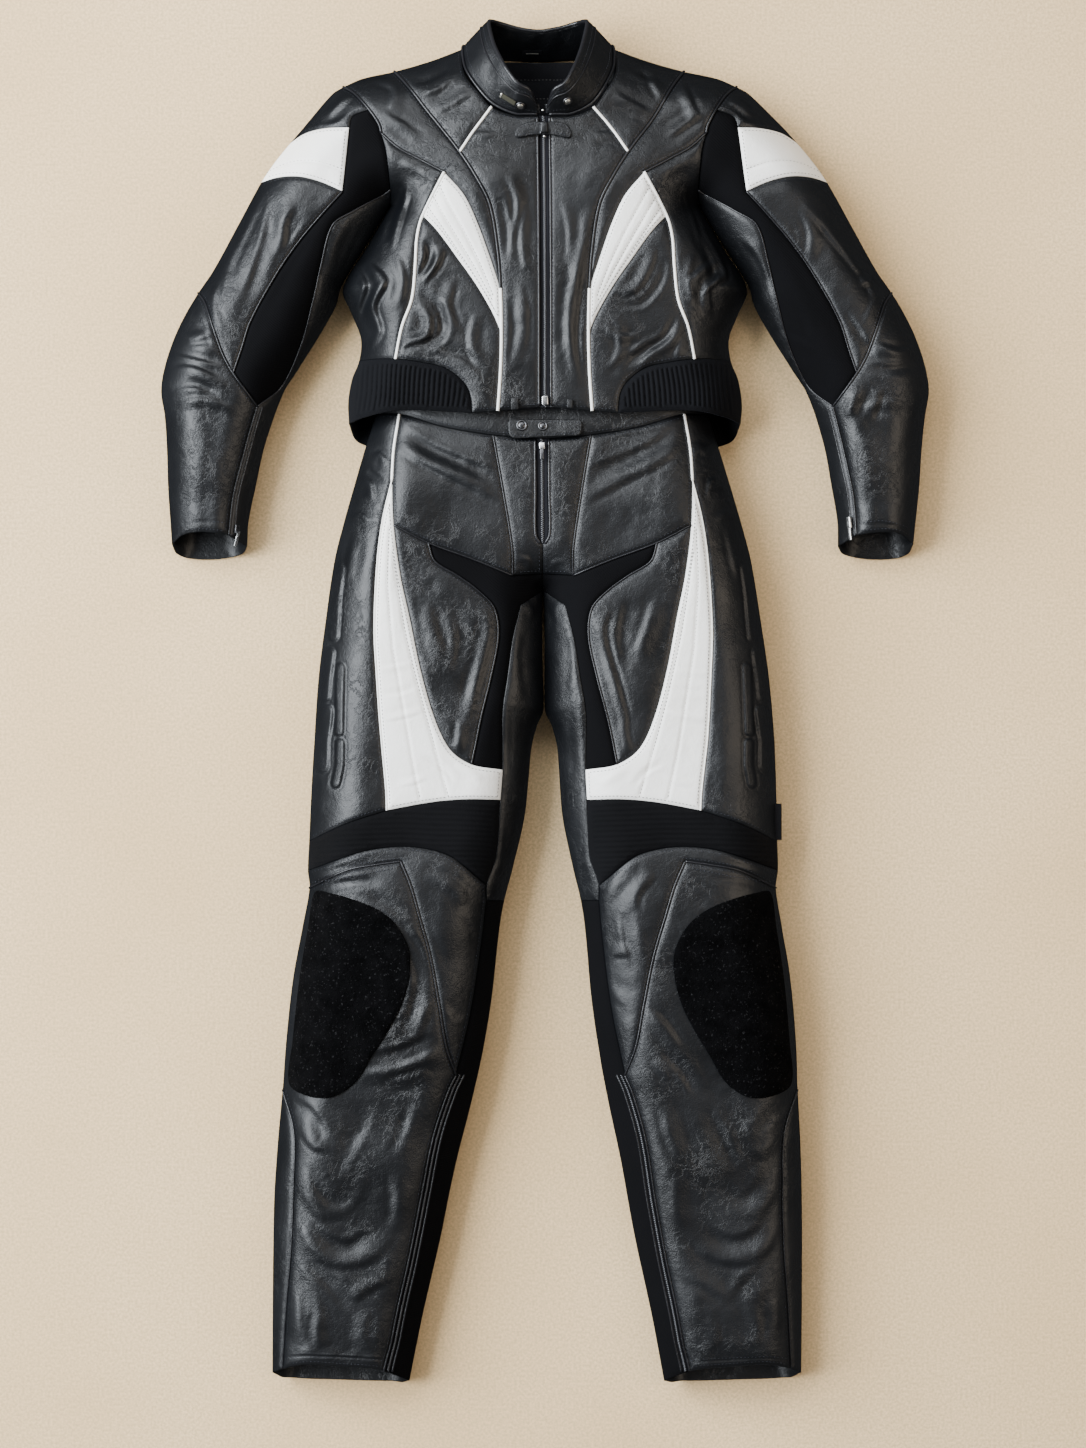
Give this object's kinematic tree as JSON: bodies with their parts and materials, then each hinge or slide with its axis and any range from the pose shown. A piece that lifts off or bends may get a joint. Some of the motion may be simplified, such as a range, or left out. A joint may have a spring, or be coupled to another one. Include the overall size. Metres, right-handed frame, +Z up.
{
  "type": "motorcycle race suit",
  "caption": "Two-piece leather motorcycle race suit laid flat on its back, jacket zipped, with white panels, ribbed waist, knee pads and open neck, cuffs and ankles.",
  "frame": {"origin": "middle of the laid suit's box, on the surface it lies on", "axes": "+Y towards the collar, +Z up from the surface, +X towards the wearer's left"},
  "size_m": [0.8438, 1.498, 0.127],
  "materials": {
    "leather_black": "semi-gloss black cowhide",
    "leather_white": "semi-gloss off-white cowhide",
    "stretch_fabric": "matt black ribbed aramid stretch fabric",
    "rib_knit": "matt black ribbed elastic knit",
    "zip_tape": "black woven tape with metal teeth",
    "loop_pad": "black brushed loop pile",
    "metal": "nickel-plated die-cast zip hardware"
  },
  "bodies": {
    "suit": {"calf_stretch_left": "stretch_fabric", "calf_stretch_right": "stretch_fabric", "chest_flash_left": "leather_white", "chest_flash_right": "leather_white", "collar": "leather_black", "collar_tab": "leather_black", "cuff_slider": "metal", "fly_zip": "zip_tape", "front_zip": "zip_tape", "jacket_back": "leather_black", "jacket_front_left": "leather_black", "jacket_front_right": "leather_black", "jacket_lower_front_left": "leather_black", "jacket_lower_front_right": "leather_black", "jacket_rib_left": "rib_knit", "jacket_rib_right": "rib_knit", "jacket_shoulder_left": "leather_black", "jacket_shoulder_right": "leather_black", "jacket_side_left": "leather_black", "jacket_side_right": "leather_black", "jacket_yoke_left": "leather_black", "jacket_yoke_right": "leather_black", "knee_panel_left": "leather_black", "knee_panel_right": "leather_black", "knee_pleats_left": "leather_black", "knee_pleats_right": "leather_black", "knee_slider_left": "loop_pad", "knee_slider_right": "loop_pad", "leg_back_left": "leather_black", "leg_back_right": "leather_black", "shin_panel_left": "leather_black", "shin_panel_right": "leather_black", "sleeve_band_left": "leather_white", "sleeve_band_right": "leather_white", "sleeve_cap_left": "leather_black", "sleeve_cap_right": "leather_black", "sleeve_forearm_left": "leather_black", "sleeve_forearm_right": "leather_black", "sleeve_stretch_left": "stretch_fabric", "sleeve_stretch_right": "stretch_fabric", "sleeve_under_left": "leather_black", "sleeve_under_right": "leather_black", "sleeve_upper_left": "leather_black", "sleeve_upper_right": "leather_black", "thigh_flash_left": "leather_white", "thigh_flash_right": "leather_white", "trouser_front_left": "leather_black", "trouser_front_right": "leather_black", "trouser_hip_left": "leather_black", "trouser_hip_right": "leather_black", "trouser_side_left": "leather_black", "trouser_side_right": "leather_black", "trouser_stretch_left": "stretch_fabric", "trouser_stretch_right": "stretch_fabric", "trouser_thigh_left": "leather_black", "trouser_thigh_right": "leather_black", "waist_tab": "leather_black", "waistband": "leather_black", "zip_slider": "metal"},
    "cuff_pull": {"cuff_pull": "metal"}
  },
  "joints": [
    {"name": "cuff_pull_swing", "type": "hinge", "parent": "suit", "child": "cuff_pull", "pos_m": [-0.33513, 0.18855, 0.05023], "axis": [-0.5971, 0.0717, 0.7989], "range_deg": [-10, 160]}
  ]
}
